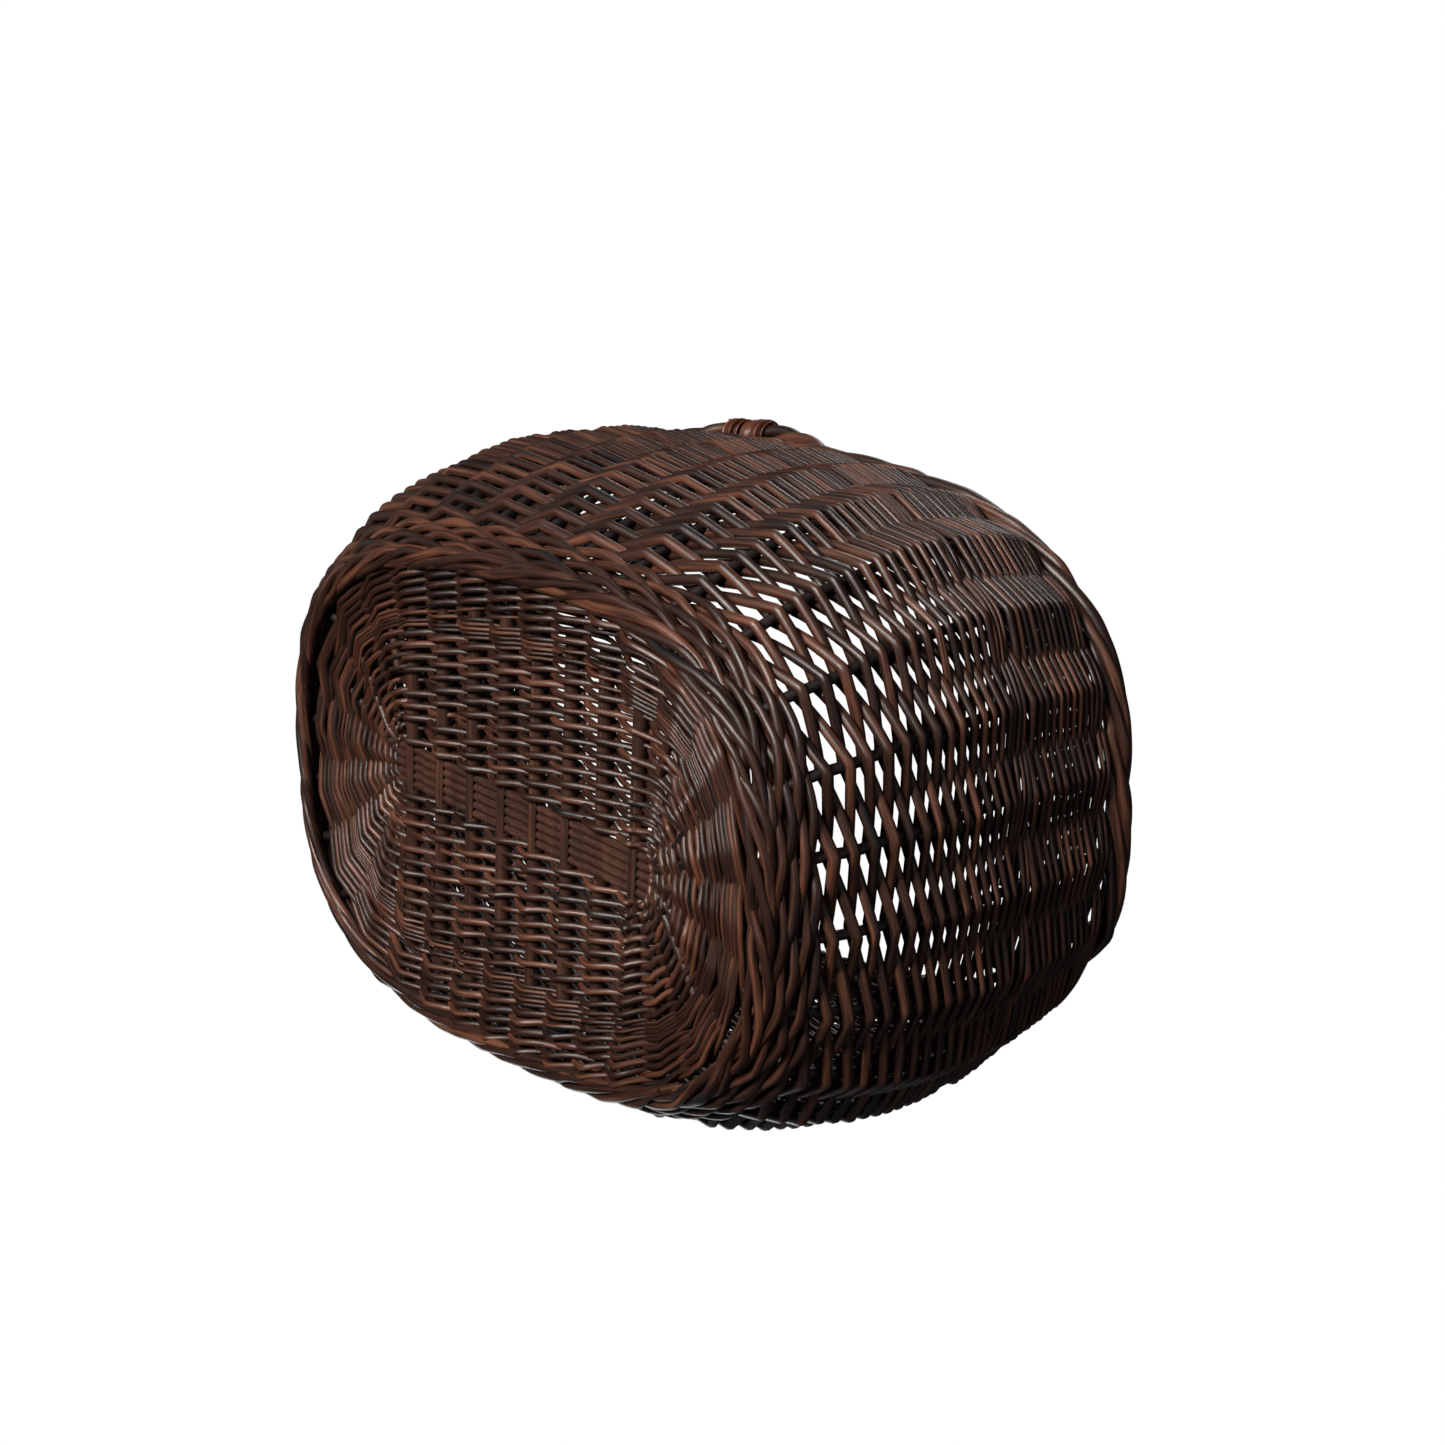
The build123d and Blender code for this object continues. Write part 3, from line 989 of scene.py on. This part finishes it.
@dataclass
class Stakes:
    """The upright rods, from the base up to the border."""

    radius: float = 3.1
    leg: float = 27.0
    root_level: float = 12.4
    top: float = 230.0

    def path(self, number: int, jitter: random.Random) -> list[PathPoint]:
        """Runs one stake out of the base and up the wall.

        Args:
            number: Which stake.
            jitter: Source of the small irregularities.

        Returns:
            The stake's path.
        """
        elbow = wall_point(number, self.root_level, WALL_MIDDLE)
        inward = Vector((-elbow.x, OVAL.lean(self.root_level) - elbow.y, 0)).normalized()
        path = [(elbow + inward * self.leg * (3 - i) / 3, self.radius) for i in range(3)]
        rise = self.top - self.root_level - 5
        for i in range(13):
            level = self.root_level + 5 + rise * i / 12
            place = number + jitter.uniform(-0.02, 0.02)
            radius = self.radius * (1.04 - 0.2 * i / 12)
            path.append((wall_point(place, level, WALL_MIDDLE), radius))
        return path

    def build(self, shop: Workshop) -> None:
        """Makes the four groups of stakes.

        Args:
            shop: The shared workshop.
        """
        jitter = random.Random("stakes")
        groups: dict[str, list[list[PathPoint]]] = {
            "right_end": [],
            "back_side": [],
            "left_end": [],
            "front_side": [],
        }
        for number in range(STAKE_COUNT):
            foot = wall_point(number, 0.0, 0.0)
            heading = math.degrees(math.atan2(foot.y - OVAL.lean(0.0), foot.x)) % 360
            side = list(groups)[int((heading + 45) % 360 // 90)]
            groups[side].append(self.path(number, jitter))
        for side, paths in groups.items():
            # The stakes take the darker finish, which is painted shade.
            piece = shop.sweeper.sweep("willow_stakes_" + side, paths, shop.finishes[Fibre.PAINTED_SHADE])
            shop.fit(piece, "stakes", "side_stakes_" + side)


# ---- borders ----


@dataclass
class RopeBorder:
    """A border of rods twisted round each other, one new rod at every few stakes."""

    name: str
    level: float
    inset: float
    strands: int
    radius: float
    depth: float
    lift: float
    turns: float
    rods_in_round: int

    def paths(self) -> list[list[PathPoint]]:
        """Twists the border's rods.

        Returns:
            The path of each rod.
        """
        jitter = random.Random(self.name)
        paths = []

        def line(place: float, out: float, up: float) -> Vector:
            """Gives a point round the border."""
            return wall_point(place, self.level + up, self.inset - out)

        for strand in range(self.strands):
            first = strand * STAKE_COUNT / self.strands / self.rods_in_round
            for start, end in spliced(self.rods_in_round, STAKE_COUNT, first, 0.9):
                size = self.radius * jitter.uniform(0.92, 1.08)
                paths.append(
                    twisted_strand(
                        line,
                        start,
                        end,
                        strand / self.strands,
                        self.turns,
                        self.depth,
                        self.lift,
                        lambda share, size=size: size * (1.12 - 0.24 * share),
                        jitter,
                    )
                )
        return paths

    def build(self, shop: Workshop) -> None:
        """Twists the border and puts it in place of its node.

        Args:
            shop: The shared workshop.
        """
        piece = shop.sweeper.sweep(
            "twisted_" + self.name, self.paths(), shop.finishes[Fibre.FACE], sides=10
        )
        shop.fit(piece, "border_rods", self.name)


# ---- handles ----


@dataclass
class Handle:
    """A rope of three rods over the rim, bound with split willow at its middle."""

    label: str
    side: int
    span: float = 196.0
    shift: float = 76.0
    rod_radius: float = 3.7
    rope_radius: float = 4.4
    twists: float = 2.3
    border_middle: float = 7.5
    outward: float = 0.28
    rises: tuple[float, ...] = (-12.0, 9.0, 20.0, 20.0, 9.0, -12.0)
    shares: tuple[float, ...] = (-0.5, -0.37, -0.15, 0.15, 0.37, 0.5)
    binding_turns: int = 8
    binding_pitch: float = 4.9
    skein_radius: float = 2.7

    def rise(self, share: float) -> float:
        """Gives the height of the rope's middle over the border, at a share of its span."""
        for i in range(len(self.shares) - 1):
            if share <= self.shares[i + 1] or i == len(self.shares) - 2:
                part = (share - self.shares[i]) / (self.shares[i + 1] - self.shares[i])
                return self.rises[i] + (self.rises[i + 1] - self.rises[i]) * part
        return 0.0

    def centre(self, share: float) -> Vector:
        """Gives a point of the rope's middle line.

        Args:
            share: Place along the span, from -0.5 to 0.5.

        Returns:
            The point, in millimetres.
        """
        window = 0.045
        near = [share + window * (k - 2) / 2 for k in range(5)]
        rise = sum(self.rise(min(max(s, -0.5), 0.5)) for s in near) / 5
        length, width, power = OVAL.half_axes(OVAL.height + min(rise, 0.0))
        x = share * self.span + self.side * self.shift
        reach = (1 - (abs(x) / (length - self.border_middle)) ** power) ** (1 / power)
        across = self.side * (width - self.border_middle) * reach + OVAL.lean(OVAL.height)
        across += self.side * self.outward * max(rise, 0.0)
        return Vector((x, across, OVAL.height + rise))

    def around(self, share: float, turn: float, reach: float) -> Vector:
        """Gives a point beside the rope's middle line.

        Args:
            share: Place along the span.
            turn: Angle round the rope, in radians.
            reach: Distance from its middle.

        Returns:
            The point, in millimetres.
        """
        heading = (self.centre(share + 0.01) - self.centre(share - 0.01)).normalized()
        across = heading.cross(Vector((0, 0, 1))).normalized()
        upward = across.cross(heading)
        sideways = across * reach * math.cos(turn)
        return self.centre(share) + sideways + upward * reach * math.sin(turn)

    def build(self, shop: Workshop) -> None:
        """Twists the three rods and winds the binding.

        Args:
            shop: The shared workshop.
        """
        jitter = random.Random(self.label)
        for rod in range(3):
            path = []
            for i in range(41):
                share = -0.5 + i / 40
                turn = 2 * math.pi * (rod / 3 + self.twists * share)
                size = self.rod_radius * (1.0 + 0.05 * math.sin(7 * share + rod))
                reach = self.rope_radius + jitter.uniform(-0.15, 0.15)
                path.append((self.around(share, turn, reach), size))
            piece = shop.sweeper.sweep(
                f"{self.label}_rope_rod_{rod + 1}", [path], shop.finishes[Fibre.FACE], sides=12
            )
            shop.fit(piece, "handle_rods", f"{self.label}_handle_rod_{rod + 1}")
        reach = self.rope_radius + self.rod_radius + 0.5
        half = self.binding_turns * self.binding_pitch / 2 / self.span
        samples = self.binding_turns * 14
        path = []
        for i in range(samples + 1):
            share = -half + 2 * half * i / samples
            turn = 2 * math.pi * self.binding_turns * i / samples
            lobes = 0.97 + 0.03 * math.cos(3 * (turn - 2 * math.pi * self.twists * share))
            path.append((self.around(share, turn, reach * lobes), self.skein_radius))
        piece = shop.sweeper.sweep(
            f"{self.label}_skein_binding",
            [path],
            shop.finishes[Fibre.SKEIN],
            flatness=0.28,
            sides=10,
            outline=0.1,
        )
        shop.fit(piece, "binding_skein", f"{self.label}_handle_binding")


# ---- studio ----


@dataclass
class Studio:
    """The camera, the pale floor and the soft lights."""

    target: tuple[float, float, float] = (-0.0535, 0.0014, 0.2160)
    azimuth: float = 70.731
    elevation: float = -39.328
    roll: float = 76.645
    distance: float = 1.8
    lens: float = 70.03
    sky: float = 0.03

    def axes(self) -> tuple[Vector, Vector, Vector]:
        """Gives the camera's right, up and backward directions."""
        azimuth, elevation = math.radians(self.azimuth), math.radians(self.elevation)
        back = Vector(
            (
                math.sin(azimuth) * math.cos(elevation),
                -math.cos(azimuth) * math.cos(elevation),
                math.sin(elevation),
            )
        )
        level = Vector((0, 0, 1)).cross(back).normalized()
        rise = back.cross(level)
        c, s = math.cos(math.radians(self.roll)), math.sin(math.radians(self.roll))
        return level * c + rise * s, rise * c - level * s, back

    def camera(self) -> None:
        """Sets the camera, which looks up at the basket from below its base."""
        right, up, back = self.axes()
        data = bpy.data.cameras.new("studio_camera")
        data.lens = self.lens
        data.sensor_width = 36.0
        data.clip_start, data.clip_end = 0.01, 100.0
        camera = bpy.data.objects.new("studio_camera", data)
        place = Vector(self.target) + back * self.distance
        camera.matrix_world = Matrix(
            (
                (right.x, up.x, back.x, place.x),
                (right.y, up.y, back.y, place.y),
                (right.z, up.z, back.z, place.z),
                (0, 0, 0, 1),
            )
        )
        bpy.context.scene.collection.objects.link(camera)
        bpy.context.scene.camera = camera

    def light(
        self,
        name: str,
        place: Vector,
        size: float,
        power: float,
        colour: tuple[float, float, float],
    ) -> None:
        """Adds one soft light that faces the basket.

        Args:
            name: The light's name.
            place: Where it hangs.
            size: Its side.
            power: Its power in watts.
            colour: Its colour.
        """
        data = bpy.data.lights.new(name, "AREA")
        data.shape = "SQUARE"
        data.size = size
        data.energy = power
        data.color = colour
        lamp = bpy.data.objects.new(name, data)
        lamp.location = place
        lamp.rotation_mode = "QUATERNION"
        lamp.rotation_quaternion = (Vector((0, 0, 0.12)) - place).to_track_quat("-Z", "Y")
        bpy.context.scene.collection.objects.link(lamp)

    def build(self) -> None:
        """Sets the camera, world, lights and floor."""
        self.camera()
        world = bpy.data.worlds.new("studio")
        world.use_nodes = True
        tree = world.node_tree
        ground = tree.nodes["Background"]
        ground.inputs["Color"].default_value = (1.0, 1.0, 1.0, 1.0)
        seen = tree.nodes.new("ShaderNodeLightPath")
        strength = tree.nodes.new("ShaderNodeMapRange")
        strength.inputs["To Min"].default_value = self.sky
        tree.links.new(seen.outputs["Is Camera Ray"], strength.inputs["Value"])
        tree.links.new(strength.outputs["Result"], ground.inputs["Strength"])
        bpy.context.scene.world = world
        bpy.context.scene.view_settings.view_transform = "Standard"
        right, up, back = self.axes()
        middle = Vector((0, 0, 0.12))
        white, warm = (1.0, 1.0, 1.0), (1.0, 0.95, 0.9)
        below = Vector((0, 0, -0.6))
        self.light("key", middle + below + up * 1.0 + back * 1.5 - right * 0.9, 0.7, 118.0, warm)
        self.light("fill", middle + right * 1.0 + back * 1.7, 1.2, 5.0, white)
        self.light("overhead", Vector((-0.9, -1.5, 1.9)), 1.0, 14.0, white)
        self.light("behind", Vector((-1.6, 1.6, 0.7)), 1.2, 12.0, white)
        mesh = bpy.data.meshes.new("studio_floor")
        mesh.from_pydata([(-4, -4, 0), (4, -4, 0), (4, 4, 0), (-4, 4, 0)], [], [(0, 1, 2, 3)])
        mesh.materials.append(FloorFinish().build())
        floor = bpy.data.objects.new("studio_floor", mesh)
        floor.visible_shadow = False
        floor.visible_diffuse = False
        bpy.context.scene.collection.objects.link(floor)


def main() -> None:
    """Builds the basket in its working order: base, stakes, wall, borders, handles."""
    logging.basicConfig(level=logging.INFO, format="%(name)s: %(message)s")
    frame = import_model()
    Studio().build()
    shop = Workshop(frame["nodes"])
    Base().build(shop)
    Stakes().build(shop)
    for part in (
        RopeBorder("foot_border", 6.4, 7.0, 5, 2.9, 4.4, 3.3, 0.27, 7),
        WaleBand("upsett_wale", (12.0, 17.0, 22.0, 27.0), 3, 2.8, 6.0, 1.7),
        RandBand("lower_rand", 28.5, 152.0, 14, 12.6, 3.35, 1.9),
        WaleBand("middle_wale", (153.8, 157.2, 160.6), 2, 1.45, 4.6, 1.0),
        RandBand("upper_rand", 162.5, 214.0, 10, 5.8, 2.05, 1.45),
        WaleBand("top_wale", (216.5, 220.5), 2, 1.6, 4.7, 1.1),
        RopeBorder("rim_border", 233.8, 7.6, 5, 3.5, 4.6, 5.5, 0.25, 5),
    ):
        part.build(shop)
    Handle("front", -1).build(shop)
    Handle("back", 1).build(shop)


if __name__ == "__main__":
    main()
